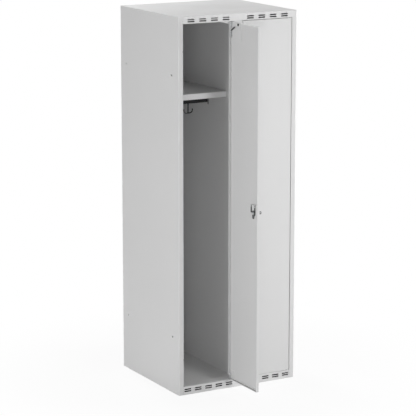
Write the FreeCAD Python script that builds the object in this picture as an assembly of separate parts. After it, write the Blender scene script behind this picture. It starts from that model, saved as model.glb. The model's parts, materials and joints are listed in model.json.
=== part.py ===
import FreeCAD, Part
import math
import os

# Metal clothes locker with two bays, in millimetres.
# X runs along the front to the right, Y from the front to the back, Z up.
# The origin lies on the floor in the middle of the cabinet.
# Both doors are hung on their right. The left one stands open, the right one is closed.

# Cabinet shell
width = 600.0
depth = 550.0
height = 1700.0
sheet = 1.0
bend = 1.0
post_width = 23.0
post_flange = 15.0
centre_post_width = 42.0
top_rail_height = 32.0
bottom_rail_height = 38.0
rail_return = 25.0
rail_upstand = 10.0
back_flange = 20.0
lid_flange = 20.0
lid_edge_round = 0.4
floor_flange = 20.0
floor_lap = 6.0
gusset_length = 72.0
gusset_height = 17.0
divider_flange = 12.0
channel_width = 40.0
notch_clearance = 0.5

# Holes for joining lockers side by side
side_hole_radius = 4.5
side_hole_from_front = 62.0
side_hole_from_back = 52.0
side_hole_from_end = 260.0

# Vent slots, in pairs one above the other
slot_length = 35.0
slot_height = 5.6
slot_pair_pitch = 9.2
top_slot_pairs = 4
top_slot_margin = 23.2
top_slot_drop = 18.2
bottom_slot_pairs = 5
bottom_slot_margin = 3.7
bottom_slot_rise = 21.0

# Doors
door_side_gap = 2.0
door_top_gap = 2.0
door_bottom_gap = 2.0
door_thickness = 13.0
door_lip = 6.0
left_door_angle = 90.0
stop_overlap = 7.0
stop_gap = 2.0
buffer_radius = 3.0
buffer_clearance = 0.3
buffer_from_end = 120.0

# Hinges
pin_radius = 2.5
pin_from_edge = 10.0
pin_lip_clearance = 1.5
running_clearance = 0.05
fixed_clearance = 0.02
bush_wall = 2.0
bush_flange = 2.5
bush_length = 11.0
bush_door_clearance = 0.3
plate_thickness = 1.5
upper_plate_width = 90.0
upper_plate_height = 76.0
lower_plate_width = 40.0
lower_plate_height = 40.0
lug_width = 16.0
lug_lip_clearance = 0.5
upper_lug_drop = 64.5
lower_lug_rise = 20.0
lower_notch_height = 19.0
upper_pin_reach = 10.0
lower_pin_reach = 12.0
pin_tail = 4.5
collar_radius = 3.5
collar_height = 2.0
lever_drop = 40.0
lever_radius = 2.0
lever_run = 33.0
lever_rise = 19.0
spring_wall = 0.8
spring_clearance = 0.2
hinge_screw_from_edge = 64.0
hinge_screw_drop = 10.0
hinge_screw_radius = 6.0

# Locks
lock_from_edge = 26.0
lock_axis_drop = 5.0
barrel_radius = 9.0
lock_head_radius = 12.0
lock_head_height = 4.0
core_radius = 6.0
nut_across = 25.0
nut_height = 4.0
bracket_width = 52.0
bracket_height = 63.0
bracket_from_edge = 8.0
bracket_thickness = 1.5
case_thickness = 2.0
case_disc_radius = 13.0
case_bar_width = 7.0
case_bar_height = 27.0
case_bar_spread = 31.0
case_bar_shift = 5.5
case_tie_height = 6.0
cam_clearance = 1.0
cam_run_gap = 0.5
cam_thickness = 2.0
cam_width = 14.0
cam_reach = 24.0
tenon_side = 7.0
cam_screw_radius = 5.0
cam_screw_head = 2.5
cam_screw_shank_radius = 2.0
cam_screw_length = 8.0
key_bow_length = 17.0
key_bow_height = 13.0
key_bow_round = 4.0
key_thickness = 2.0
key_neck = 2.0
key_blade_height = 6.0
key_blade_length = 14.0
key_hole_radius = 2.5
screw_head_radius = 3.0
screw_head_height = 1.8
case_screw_drop = 5.0

# Hat shelf
shelf_height = 1343.0
shelf_from_front = 105.0
shelf_lip = 26.0
shelf_hem = 12.0
shelf_back_flange = 15.0
shelf_side_flange = 20.0
shelf_side_inset = 30.0
clip_width = 12.0
clip_height = 10.0
clip_length = 20.0

# Hook rail and hooks
rail_drop = 69.5
rail_from_front = 280.0
rail_depth = 14.0
rail_height = 22.0
rail_wall = 1.5
rail_end_gap = 4.0
hanger_thickness = 2.0
hanger_foot = 16.0
hanger_tab_forward = 10.0
hanger_tab_width = 1.0
hanger_tab_below = 9.0
slider_length = 24.0
slider_height = 8.0
slider_clearance = 0.3
slider_seat = 0.2
hook_stem_radius = 3.0
hook_wire_radius = 2.5
hook_ball_radius = 3.2
hook_slot_clearance = 0.8
hook_drop = 47.0
hook_spread = 44.0
hook_rise = 16.0
hook_spacing = 102.0

# Rivets of the back panel
rivet_radius = 3.0
rivet_height = 1.2
rivet_rows = 7
rivet_from_end = 60.0

# How far a cutter runs past the face it cuts
cut_margin = 1.0

# Planes and lines that the pieces share
front = -depth / 2
back = depth / 2
left = -width / 2
right = width / 2
inner_left = left + sheet
inner_right = right - sheet
divider_left = -sheet / 2
divider_right = sheet / 2
lid_under = height - sheet
back_panel_front = back - 2 * sheet
opening_low = bottom_rail_height
opening_high = height - top_rail_height
opening_left = left + post_width
opening_right = -centre_post_width / 2
bay_shift = opening_right - opening_left + centre_post_width
bay_centre = (opening_left + opening_right) / 2
rail_back = front + rail_return
floor_top = bottom_rail_height - sheet
floor_under = floor_top - sheet
stop_face = front + door_thickness + stop_gap
stop_end = opening_left + door_side_gap + stop_overlap

# Lines of a closed door in the left bay
door_free = opening_left + door_side_gap
door_hinge = opening_right - door_side_gap
door_low = opening_low + door_bottom_gap
door_high = opening_high - door_top_gap
door_back = front + door_thickness
skin_back = front + sheet
pivot_x = door_hinge - pin_from_edge
pivot_y = door_back - sheet - pin_lip_clearance - pin_radius
bush_radius = pin_radius + bush_wall
bush_flange_radius = bush_radius + bush_flange

# Lock lines on a closed door in the left bay
lock_x = door_free + lock_from_edge
lock_middle = (door_low + door_high) / 2
lock_z = lock_middle - lock_axis_drop
bracket_back = door_back + bracket_thickness
case_back = bracket_back + case_thickness
cam_front = max(stop_face + sheet + cam_clearance, case_back + cam_run_gap)
cam_back = cam_front + cam_thickness
head_front = front - lock_head_height
case_middle = lock_x + case_bar_shift
case_bars = (case_middle - case_bar_spread / 2, case_middle + case_bar_spread / 2)
case_top = lock_middle + case_tie_height / 2 + case_bar_height

# Shelf and hook rail lines
shelf_front = front + shelf_from_front
shelf_under = shelf_height - sheet
rail_y = front + rail_from_front
rail_low = shelf_under - rail_drop
rail_high = rail_low + rail_height


def vector(x, y, z):
    return FreeCAD.Vector(x, y, z)


def block(x, y, z):
    """Box between the low and high ends of each axis."""
    size = [high - low for low, high in (x, y, z)]
    return Part.makeBox(*size, vector(x[0], y[0], z[0]))


def rod(radius, start, end):
    """Round bar between two points."""
    along = end - start
    return Part.makeCylinder(radius, along.Length, start, along)


def upright(radius, x, y, low, high):
    return rod(radius, vector(x, y, low), vector(x, y, high))


def across(radius, x, z, near, far):
    """Round bar that runs from front to back."""
    return rod(radius, vector(x, near, z), vector(x, far, z))


def join(first, *others):
    return first.fuse(list(others)).removeSplitter()


def plan(u, v):
    return vector(u, v, 0)


def side_view(u, v):
    return vector(0, u, v)


def front_view(u, v):
    return vector(u, 0, v)


def bent_sheet(line, view, start, end):
    """Sheet folded along the line of its outer face, with the metal on the line's left.

    The line is drawn in one view, and the section is pulled from start to end across it.
    """
    points = [vector(u, v, 0) for u, v in line]
    runs = [(b - a).normalize() for a, b in zip(points, points[1:])]
    inward = [vector(-run.y, run.x, 0) * sheet for run in runs]
    face_line = [points[0]]
    inner_line = [points[0] + inward[0]]
    face_arcs = []
    inner_arcs = []
    for corner, run_in, run_out, in_step, out_step in zip(points[1:-1], runs, runs[1:], inward, inward[1:]):
        turns_left = run_in.cross(run_out).z > 0
        face_radius = bend + sheet if turns_left else bend
        toward = 1 if turns_left else -1
        first = corner - run_in * face_radius
        last = corner + run_out * face_radius
        centre = first + in_step * (toward * face_radius / sheet)
        middle = (corner - centre).normalize()
        inner_radius = bend if turns_left else bend + sheet
        face_arcs.append((first, centre + middle * face_radius, last))
        inner_arcs.append((first + in_step, centre + middle * inner_radius, last + out_step))
        face_line += [first, last]
        inner_line += [first + in_step, last + out_step]
    face_line.append(points[-1])
    inner_line.append(points[-1] + inward[-1])
    straight = list(zip(face_line[::2], face_line[1::2])) + list(zip(inner_line[::2], inner_line[1::2]))
    straight += [(face_line[0], inner_line[0]), (face_line[-1], inner_line[-1])]
    edges = [Part.makeLine(view(a.x, a.y), view(b.x, b.y)) for a, b in straight]
    for arc in face_arcs + inner_arcs:
        edges.append(Part.Arc(*[view(p.x, p.y) for p in arc]).toShape())
    section = Part.Face(Part.Wire(Part.__sortEdges__(edges)))
    normal = vector(1, 1, 1) - view(1, 1)
    section.translate(normal * start)
    return section.extrude(normal * (end - start))


def on_bays(shape):
    """The same shape in the left and in the right bay."""
    moved = shape.copy()
    moved.translate(vector(bay_shift, 0, 0))
    return {"left": shape, "right": moved}


def on_doors(shape):
    """A closed left door's piece, swung open with the left door and shifted to the right one."""
    placed = on_bays(shape.copy())
    placed["left"].rotate(vector(pivot_x, pivot_y, 0), vector(0, 0, 1), left_door_angle)
    return placed


def slots(pairs, margin, height_of_pair):
    """Cutters for the vent slots of both bays in one rail, spread over the opening's width."""
    cutters = []
    pitch = (opening_right - opening_left - 2 * margin - slot_length) / (pairs - 1)
    half_flat = (slot_length - slot_height) / 2
    near = front - cut_margin
    far = front + sheet + cut_margin
    for bay in (bay_centre, bay_centre + bay_shift):
        for index in range(pairs):
            x = bay + (index - (pairs - 1) / 2) * pitch
            for z in (height_of_pair - slot_pair_pitch / 2, height_of_pair + slot_pair_pitch / 2):
                ends = (x - half_flat, x + half_flat)
                tall = (z - slot_height / 2, z + slot_height / 2)
                cutters.append(block(ends, (near, far), tall))
                cutters += [across(slot_height / 2, end, z, near, far) for end in ends]
    return Part.makeCompound(cutters)


def bush_holes(low, high):
    """Cutters for the hinge bushes of both doors."""
    radius = bush_radius + fixed_clearance
    return [upright(radius, pivot_x + shift, pivot_y, low, high) for shift in (0, bay_shift)]


def side_holes(x_low, x_high):
    cutters = []
    for y in (front + side_hole_from_front, back - side_hole_from_back):
        for z in (side_hole_from_end, height - side_hole_from_end):
            cutters.append(rod(side_hole_radius, vector(x_low, y, z), vector(x_high, y, z)))
    return cutters


def side_panel_left():
    """Web, back flange and the front post, which folds on into the door stop."""
    line = [
        (left + back_flange, back),
        (left, back),
        (left, front),
        (opening_left, front),
        (opening_left, stop_face),
        (stop_end, stop_face),
    ]
    panel = bent_sheet(line, plan, 0, lid_under)
    beyond_post = (opening_left, stop_end + cut_margin)
    beyond_face = (stop_face - bend - cut_margin, stop_face + sheet + cut_margin)
    clear_low = block(beyond_post, beyond_face, (-cut_margin, opening_low))
    clear_high = block(beyond_post, beyond_face, (opening_high, height))
    return panel.cut([clear_low, clear_high] + side_holes(left - cut_margin, inner_left + cut_margin))


def side_panel_right():
    """Web and back flange, butted to the post of the hinge side."""
    line = [
        (right, front + post_flange),
        (right, back),
        (right - back_flange, back),
    ]
    panel = bent_sheet(line, plan, 0, lid_under)
    return panel.cut(side_holes(inner_right - cut_margin, right + cut_margin))


def side_post_right():
    """Plain front post of the hinge side, folded from its own strip."""
    line = [
        (right - post_width, front),
        (right, front),
        (right, front + post_flange),
    ]
    return bent_sheet(line, plan, 0, lid_under)


def back_panel():
    wide = (inner_left + bend, inner_right - bend)
    return block(wide, (back_panel_front, back - sheet), (0, lid_under))


def back_rivets():
    """Rivet heads in the back flanges of both side panels."""
    heads = []
    step = (height - 2 * rivet_from_end) / (rivet_rows - 1)
    for x in (left + back_flange / 2, right - back_flange / 2):
        for row in range(rivet_rows):
            z = rivet_from_end + row * step
            heads.append(across(rivet_radius, x, z, back, back + rivet_height))
    return Part.makeCompound(heads)


def top_panel():
    """Flat lid with a flange down inside each side panel."""
    lid = block((left, right), (front, back), (lid_under, height))
    rims = [edge for edge in lid.Edges if edge.BoundBox.ZMin > lid_under]
    lid = lid.makeFillet(min(lid_edge_round, sheet / 2), rims)
    along = (rail_back + notch_clearance, back_panel_front)
    tall = (lid_under - lid_flange, lid_under)
    left_flange = block((inner_left, inner_left + sheet), along, tall)
    right_flange = block((inner_right - sheet, inner_right), along, tall)
    return join(lid, left_flange, right_flange)


def top_rail():
    """Slotted face, the return that carries the upper hinge bushes, and its upstand."""
    line = [
        (front, lid_under),
        (front, opening_high),
        (rail_back, opening_high),
        (rail_back, opening_high + rail_upstand),
    ]
    rail = bent_sheet(line, side_view, opening_left, -opening_left)
    cutters = [slots(top_slot_pairs, top_slot_margin, height - top_slot_drop)]
    cutters += bush_holes(opening_high - cut_margin, opening_high + sheet + cut_margin)
    return rail.cut(cutters)


def bottom_rail():
    """Slotted face, and the return that carries the lower hinge bushes."""
    line = [
        (rail_back, opening_low),
        (front, opening_low),
        (front, 0),
    ]
    rail = bent_sheet(line, side_view, opening_left, -opening_left)
    cutters = [slots(bottom_slot_pairs, bottom_slot_margin, bottom_slot_rise)]
    cutters += bush_holes(floor_top - cut_margin, opening_low + cut_margin)
    return rail.cut(cutters)


def hinge_gussets():
    """Triangles under the top rail's return, behind the hinge side of each door."""
    corner = vector(opening_right, rail_back - plate_thickness, opening_high)
    outline = [corner, corner + vector(-gusset_length, 0, 0), corner + vector(0, 0, -gusset_height), corner]
    gusset = Part.Face(Part.makePolygon(outline)).extrude(vector(0, plate_thickness, 0))
    return Part.makeCompound(list(on_bays(gusset).values()))


def floor_panel():
    """Floor of both bays, lapped under the bottom rail's return."""
    line = [
        (inner_right, floor_top - floor_flange),
        (inner_right, floor_top),
        (inner_left, floor_top),
        (inner_left, floor_top - floor_flange),
    ]
    return bent_sheet(line, front_view, rail_back - floor_lap, back_panel_front)


def floor_channel():
    """Channel on the floor that carries the floor panel under the divider."""
    half = channel_width / 2
    line = [
        (-half, floor_under),
        (-half, 0),
        (half, 0),
        (half, floor_under),
    ]
    return bent_sheet(line, front_view, front + sheet, back_panel_front)


def centre_divider():
    """Wall between the bays, notched round the rails, with a flange behind the centre post."""
    line = [
        (divider_left, back_panel_front),
        (divider_left, skin_back),
        (divider_left + divider_flange, skin_back),
    ]
    wall = bent_sheet(line, plan, floor_top, lid_under)
    wide = (divider_left - cut_margin, divider_left + divider_flange + cut_margin)
    near = (front, rail_back + notch_clearance)
    low_notch = block(wide, near, (floor_top - cut_margin, opening_low))
    high_notch = block(wide, near, (opening_high, height))
    return wall.cut([low_notch, high_notch])


def centre_post():
    """Post between the doors: a plain hinge side on its left, the right door's stop on its right."""
    half = centre_post_width / 2
    line = [
        (-half, front),
        (half, front),
        (half, stop_face),
        (half + door_side_gap + stop_overlap, stop_face),
    ]
    return bent_sheet(line, plan, opening_low, opening_high)


def door_buffers():
    """Rubber discs on the door stops."""
    x = door_free + stop_overlap / 2
    seat = (door_back + buffer_clearance, stop_face)
    levels = (door_low + buffer_from_end, door_high - buffer_from_end)
    return Part.makeCompound([across(buffer_radius, x, z, *seat) for z in levels])


def shelf(x_low, x_high):
    """Shelf with a hemmed front lip, a back flange and side flanges against the walls."""
    shelf_back = back_panel_front
    line = [
        (shelf_back, shelf_height - shelf_back_flange),
        (shelf_back, shelf_height),
        (shelf_front, shelf_height),
        (shelf_front, shelf_height - shelf_lip),
        (shelf_front + shelf_hem, shelf_height - shelf_lip),
    ]
    tray = bent_sheet(line, side_view, x_low, x_high)
    along = (shelf_front + shelf_side_inset, shelf_back - shelf_side_inset)
    tall = (shelf_height - shelf_side_flange, shelf_under)
    near_flange = block((x_low, x_low + sheet), along, tall)
    far_flange = block((x_high - sheet, x_high), along, tall)
    return join(tray, near_flange, far_flange)


def shelf_clips(x_low, x_high):
    """Four clips on the walls, under the shelf's side flanges."""
    clips = []
    top = shelf_height - shelf_side_flange
    starts = (shelf_front + shelf_side_inset, back_panel_front - shelf_side_inset - clip_length)
    for x in ((x_low, x_low + clip_width), (x_high - clip_width, x_high)):
        for start in starts:
            clips.append(block(x, (start, start + clip_length), (top - clip_height, top)))
    return Part.makeCompound(clips)


def hook_rail(x_low, x_high):
    """Channel with a slot along its underside."""
    ends = (x_low + rail_end_gap, x_high - rail_end_gap)
    half = rail_depth / 2
    inner = half - rail_wall
    slot = hook_stem_radius + hook_slot_clearance
    past = (ends[0] - cut_margin, ends[1] + cut_margin)
    rail = block(ends, (rail_y - half, rail_y + half), (rail_low, rail_high))
    hollow = block(past, (rail_y - inner, rail_y + inner), (rail_low + rail_wall, rail_high - rail_wall))
    mouth = block(past, (rail_y - slot, rail_y + slot), (rail_low - cut_margin, rail_low + 2 * rail_wall))
    return rail.cut([hollow, mouth])


def rail_hangers(x_low, x_high):
    """A hanger at each end of the rail: leg, foot under the shelf and a tab in front."""
    hangers = []
    half = rail_depth / 2
    tab_y = rail_y - half - hanger_tab_forward
    for wall, inward in ((x_low, 1), (x_high, -1)):
        rail_end = wall + inward * rail_end_gap
        leg_x = sorted((rail_end, rail_end - inward * hanger_thickness))
        foot_x = sorted((rail_end - inward * hanger_thickness, rail_end + inward * hanger_foot))
        tab_x = sorted((rail_end - inward * hanger_thickness, rail_end + inward * hanger_tab_width))
        leg = block(leg_x, (rail_y - half, rail_y + half), (rail_low, shelf_under))
        foot = block(foot_x, (tab_y, rail_y + half), (shelf_under - hanger_thickness, shelf_under))
        tab = block(tab_x, (tab_y, tab_y + hanger_thickness), (rail_low - hanger_tab_below, shelf_under))
        hangers.append(join(leg, foot, tab))
    return Part.makeCompound(hangers)


def hook(x):
    """Double hook that slides in the rail."""
    half = rail_depth / 2 - rail_wall - slider_clearance
    slider_low = rail_low + rail_wall + slider_seat
    slider = block(
        (x - slider_length / 2, x + slider_length / 2),
        (rail_y - half, rail_y + half),
        (slider_low, slider_low + slider_height),
    )
    low = rail_low - hook_drop + hook_wire_radius
    half_spread = hook_spread / 2
    sweep = (half_spread ** 2 + hook_rise ** 2) / (2 * hook_rise)
    half_angle = math.degrees(math.asin(half_spread / sweep))
    centre = vector(x, rail_y, low + sweep)
    wire = Part.makeCircle(hook_wire_radius, vector(x, rail_y, low), vector(1, 0, 0))
    section = Part.Face(Part.Wire(wire))
    section.rotate(centre, vector(0, 1, 0), half_angle)
    prongs = section.revolve(centre, vector(0, -1, 0), 2 * half_angle)
    stem = upright(hook_stem_radius, x, rail_y, low, slider_low + slider_height / 2)
    balls = [Part.makeSphere(hook_ball_radius, vector(x + end, rail_y, low + hook_rise))
             for end in (-half_spread, half_spread)]
    return join(slider, stem, prongs, *balls)


def barrel_hole(near, far):
    """Cutter for the lock barrel's hole between two planes."""
    return across(barrel_radius + fixed_clearance, lock_x, lock_z, near - cut_margin, far + cut_margin)


def door():
    """Folded pan with closed ends and narrow lips, holed for the hinge pins and the lock.

    The hinge side has a notch at its foot, beside the lower hinge.
    """
    line = [
        (door_free + door_lip, door_back),
        (door_free, door_back),
        (door_free, front),
        (door_hinge, front),
        (door_hinge, door_back),
        (door_hinge - door_lip, door_back),
    ]
    pan = bent_sheet(line, plan, door_low, door_high)
    ends = []
    for low in (door_low, door_high - sheet):
        end = block((door_free, door_hinge), (front, door_back), (low, low + sheet))
        corners = [edge for edge in end.Edges if edge.BoundBox.ZLength > sheet / 2]
        ends.append(end.makeFillet(bend + sheet, corners))
    pan = join(pan, *ends)
    notch = block(
        (door_hinge - door_lip - cut_margin, door_hinge + cut_margin),
        (skin_back + bend, door_back + cut_margin),
        (door_low + sheet, door_low + lower_notch_height),
    )
    upper_hole = upright(pin_radius + running_clearance, pivot_x, pivot_y, door_high - 2 * sheet, height)
    lower_hole = upright(pin_radius + fixed_clearance, pivot_x, pivot_y, 0, door_low + 2 * sheet)
    lock_hole = barrel_hole(front, skin_back)
    return pan.cut([notch, upper_hole, lower_hole, lock_hole])


def hinge_plate(plate_width, low, high, lug_low, hole_clearance):
    """Plate on the door skin, with a lug that the hinge pin passes through."""
    edge = door_hinge - sheet - bend
    plate_back = skin_back + plate_thickness
    lug_back = door_back - sheet - lug_lip_clearance
    plate = block((edge - plate_width, edge), (skin_back, plate_back), (low, high))
    lug = block((edge - lug_width, edge), (skin_back, lug_back), (lug_low, lug_low + plate_thickness))
    hole = upright(pin_radius + hole_clearance, pivot_x, pivot_y, lug_low - cut_margin,
                   lug_low + plate_thickness + cut_margin)
    return join(plate, lug).cut(hole)


def upper_hinge_plate():
    high = door_high - sheet
    lug_low = door_high - upper_lug_drop - plate_thickness
    return hinge_plate(upper_plate_width, high - upper_plate_height, high, lug_low, running_clearance)


def lower_hinge_plate():
    low = door_low + sheet
    high = low + lower_plate_height
    return hinge_plate(lower_plate_width, low, high, low + lower_lug_rise, fixed_clearance)


def upper_hinge_pin():
    """Pin that drops out of its bush when its lever is pulled down."""
    lever_z = door_high - lever_drop
    tail_z = door_high - upper_lug_drop - plate_thickness - pin_tail
    collar_z = lever_z - lever_radius - collar_height
    pin = upright(pin_radius, pivot_x, pivot_y, tail_z, door_high + upper_pin_reach)
    collar = upright(collar_radius, pivot_x, pivot_y, collar_z, collar_z + collar_height)
    lever_start = vector(pivot_x, pivot_y, lever_z)
    lever_end = lever_start + vector(-lever_run, 0, lever_rise)
    return join(pin, collar, rod(lever_radius, lever_start, lever_end))


def pin_spring():
    """Sleeve that stands for the coil between the lug and the pin's collar."""
    low = door_high - upper_lug_drop
    high = door_high - lever_drop - lever_radius - collar_height
    inner = pin_radius + spring_clearance
    outside = upright(inner + spring_wall, pivot_x, pivot_y, low, high)
    return outside.cut(upright(inner, pivot_x, pivot_y, low - cut_margin, high + cut_margin))


def lower_hinge_pin():
    """Fixed pin, held up by its collar on the lug."""
    lug_top = door_low + sheet + lower_lug_rise + plate_thickness
    pin = upright(pin_radius, pivot_x, pivot_y, opening_low - lower_pin_reach, lug_top + pin_tail)
    collar = upright(collar_radius, pivot_x, pivot_y, lug_top, lug_top + collar_height)
    return join(pin, collar)


def hinge_bush(flange_low, flange_high, body_low, body_high):
    body = upright(bush_radius, pivot_x, pivot_y, body_low, body_high)
    flange = upright(bush_flange_radius, pivot_x, pivot_y, flange_low, flange_high)
    bore = upright(pin_radius + running_clearance, pivot_x, pivot_y, 0, height)
    return join(body, flange).cut(bore)


def hinge_bushes():
    """Flanged bushes in the top and bottom rails, above and below each door."""
    flange_low = door_high + bush_door_clearance
    flange_high = door_low - bush_door_clearance
    upper = hinge_bush(flange_low, opening_high, opening_high, opening_high + bush_length)
    lower = hinge_bush(opening_low, flange_high, opening_low - bush_length, opening_low)
    return Part.makeCompound([bush for pair in (upper, lower) for bush in on_bays(pair).values()])


def screw_head(radius, x, z, seat):
    """Pan head on a seat that faces the back of the door."""
    return across(radius, x, z, seat, seat + screw_head_height)


def hinge_screw():
    x = door_hinge - hinge_screw_from_edge
    return screw_head(hinge_screw_radius, x, door_high - hinge_screw_drop, skin_back + plate_thickness)


def lock_cylinder():
    """Head outside the door and barrel through it, bored for the core."""
    head = across(lock_head_radius, lock_x, lock_z, head_front, front)
    barrel = across(barrel_radius, lock_x, lock_z, front, cam_front - cam_run_gap)
    bore = across(core_radius + running_clearance, lock_x, lock_z, head_front - cut_margin, cam_front)
    return join(head, barrel).cut(bore)


def lock_nut():
    """Hexagon nut that clamps the barrel on the door skin."""
    corner = nut_across / math.sqrt(3)
    angles = [turn * math.pi / 3 for turn in range(7)]
    centre = vector(lock_x, skin_back, lock_z)
    outline = [centre + front_view(math.cos(a), math.sin(a)) * corner for a in angles]
    nut = Part.Face(Part.makePolygon(outline)).extrude(vector(0, nut_height, 0))
    return nut.cut(barrel_hole(skin_back, skin_back + nut_height))


def lock_bracket():
    """Plate on two legs that stand on the door skin."""
    near = door_free + bracket_from_edge
    far = near + bracket_width
    tall = (lock_middle - bracket_height / 2, lock_middle + bracket_height / 2)
    plate = block((near, far), (door_back, bracket_back), tall)
    sides = ((near, near + bracket_thickness), (far - bracket_thickness, far))
    legs = [block(side, (skin_back, bracket_back), tall) for side in sides]
    hole = barrel_hole(door_back, bracket_back)
    return join(plate, *legs).cut(hole)


def bracket_screws():
    """Screws that hold the bars of the lock case on the bracket."""
    z = case_top - case_screw_drop
    return Part.makeCompound([screw_head(screw_head_radius, x, z, case_back) for x in case_bars])


def lock_case():
    """Fork-shaped case: a disc round the barrel, a tie and two bars that stand up from it."""
    thick = (bracket_back, case_back)
    half_bar = case_bar_width / 2
    tie_top = case_top - case_bar_height
    tie_ends = (case_bars[0] - half_bar, case_bars[1] + half_bar)
    tie = block(tie_ends, thick, (tie_top - case_tie_height, tie_top))
    bars = [block((x - half_bar, x + half_bar), thick, (tie_top, case_top)) for x in case_bars]
    disc = across(case_disc_radius, lock_x, lock_z, *thick)
    hole = barrel_hole(bracket_back, case_back)
    return join(disc, tie, *bars).cut(hole)


def lock_core():
    """Round core with a keyway in front, a square tenon behind and a hole for the cam screw."""
    body = across(core_radius, lock_x, lock_z, head_front, cam_front)
    half_tenon = tenon_side / 2
    tenon = block(
        (lock_x - half_tenon, lock_x + half_tenon),
        (cam_front, cam_back),
        (lock_z - half_tenon, lock_z + half_tenon),
    )
    half_key = key_thickness / 2 + fixed_clearance
    half_blade = key_blade_height / 2 + fixed_clearance
    keyway = block(
        (lock_x - half_key, lock_x + half_key),
        (head_front - cut_margin, head_front + key_blade_length + fixed_clearance),
        (lock_z - half_blade, lock_z + half_blade),
    )
    thread = across(cam_screw_shank_radius + fixed_clearance, lock_x, lock_z,
                    cam_back - cam_screw_length - fixed_clearance, cam_back + cut_margin)
    return join(body, tenon).cut([keyway, thread])


def lock_cam():
    """Arm that hangs down when the lock is open, and turns behind the door stop."""
    half = cam_width / 2
    thick = (cam_front, cam_back)
    arm = block((lock_x - half, lock_x + half), thick, (lock_z - cam_reach + half, lock_z))
    round_top = across(half, lock_x, lock_z, *thick)
    round_tip = across(half, lock_x, lock_z - cam_reach + half, *thick)
    half_hole = tenon_side / 2 + fixed_clearance
    hole = block(
        (lock_x - half_hole, lock_x + half_hole),
        (cam_front - cut_margin, cam_back + cut_margin),
        (lock_z - half_hole, lock_z + half_hole),
    )
    return join(arm, round_top, round_tip).cut(hole)


def cam_screw():
    head = across(cam_screw_radius, lock_x, lock_z, cam_back, cam_back + cam_screw_head)
    shank = across(cam_screw_shank_radius, lock_x, lock_z, cam_back - cam_screw_length, cam_back)
    return join(head, shank)


def key():
    """Key in the lock: rounded bow with a hole, neck and blade."""
    half = key_thickness / 2
    bow_back = head_front - key_neck
    bow_front = bow_back - key_bow_length
    tall = key_bow_height / 2
    flat = (lock_x - half, lock_x + half)
    bow = block(flat, (bow_front, bow_back), (lock_z - tall, lock_z + tall))
    corners = [edge for edge in bow.Edges if edge.BoundBox.XLength > half]
    bow = bow.makeFillet(min(key_bow_round, tall / 2), corners)
    blade_end = head_front + key_blade_length
    blade_tall = (lock_z - key_blade_height / 2, lock_z + key_blade_height / 2)
    blade = block(flat, (bow_back - key_neck, blade_end), blade_tall)
    hole_y = bow_front + 2 * key_hole_radius
    hole = rod(key_hole_radius, vector(lock_x - key_thickness, hole_y, lock_z),
               vector(lock_x + key_thickness, hole_y, lock_z))
    return join(bow, blade).cut(hole)


single_pieces = {
    "side_panel_left": side_panel_left,
    "side_panel_right": side_panel_right,
    "side_post_right": side_post_right,
    "back_panel": back_panel,
    "back_rivets": back_rivets,
    "top_panel": top_panel,
    "top_rail": top_rail,
    "bottom_rail": bottom_rail,
    "floor_panel": floor_panel,
    "floor_channel": floor_channel,
    "centre_divider": centre_divider,
    "centre_post": centre_post,
    "hinge_gussets": hinge_gussets,
    "hinge_bushes": hinge_bushes,
}

door_pieces = {
    "door": door,
    "upper_hinge_plate": upper_hinge_plate,
    "lower_hinge_plate": lower_hinge_plate,
    "upper_hinge_pin": upper_hinge_pin,
    "lower_hinge_pin": lower_hinge_pin,
    "pin_spring": pin_spring,
    "hinge_screw": hinge_screw,
    "lock_cylinder": lock_cylinder,
    "lock_nut": lock_nut,
    "lock_bracket": lock_bracket,
    "bracket_screws": bracket_screws,
    "lock_case": lock_case,
    "lock_core": lock_core,
    "lock_cam": lock_cam,
    "cam_screw": cam_screw,
    "key": key,
}

bay_walls = {
    "left": (inner_left, divider_left),
    "right": (divider_right, inner_right),
}

bay_pieces = {
    "shelf": shelf,
    "shelf_clips": shelf_clips,
    "hook_rail": hook_rail,
    "rail_hangers": rail_hangers,
}

nodes = {name: make() for name, make in single_pieces.items()}
for side, shape in on_bays(door_buffers()).items():
    nodes["door_buffers_" + side] = shape
for name, make in door_pieces.items():
    for side, shape in on_doors(make()).items():
        nodes[name + "_" + side] = shape
for side, walls in bay_walls.items():
    for name, make in bay_pieces.items():
        nodes[name + "_" + side] = make(*walls)
    hook_centre = sum(walls) / 2
    for letter, step in (("a", -1), ("b", 1)):
        nodes["hook_" + letter + "_" + side] = hook(hook_centre + step * hook_spacing / 2)

os.makedirs("parts", exist_ok=True)
for name, shape in nodes.items():
    shape.exportStep("parts/" + name + ".step")
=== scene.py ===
import json
import math

import bpy
from mathutils import Matrix, Vector


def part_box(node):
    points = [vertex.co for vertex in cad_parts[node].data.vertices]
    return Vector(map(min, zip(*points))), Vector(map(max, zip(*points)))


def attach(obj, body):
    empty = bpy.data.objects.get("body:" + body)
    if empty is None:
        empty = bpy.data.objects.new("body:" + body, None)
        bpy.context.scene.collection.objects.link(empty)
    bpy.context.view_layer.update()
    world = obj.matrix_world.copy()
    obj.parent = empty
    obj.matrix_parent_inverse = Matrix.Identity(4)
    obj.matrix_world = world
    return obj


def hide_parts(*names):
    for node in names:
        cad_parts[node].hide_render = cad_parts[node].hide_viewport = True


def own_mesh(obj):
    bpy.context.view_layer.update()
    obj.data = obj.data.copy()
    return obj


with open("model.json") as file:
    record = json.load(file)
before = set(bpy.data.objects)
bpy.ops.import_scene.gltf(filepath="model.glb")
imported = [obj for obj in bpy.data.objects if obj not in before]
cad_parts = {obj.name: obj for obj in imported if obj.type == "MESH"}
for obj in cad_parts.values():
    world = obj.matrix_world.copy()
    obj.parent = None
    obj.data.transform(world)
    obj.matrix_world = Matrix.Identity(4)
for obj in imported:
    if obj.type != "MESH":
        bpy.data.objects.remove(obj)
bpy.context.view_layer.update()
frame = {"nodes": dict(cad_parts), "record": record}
nodes = frame["nodes"]

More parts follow.
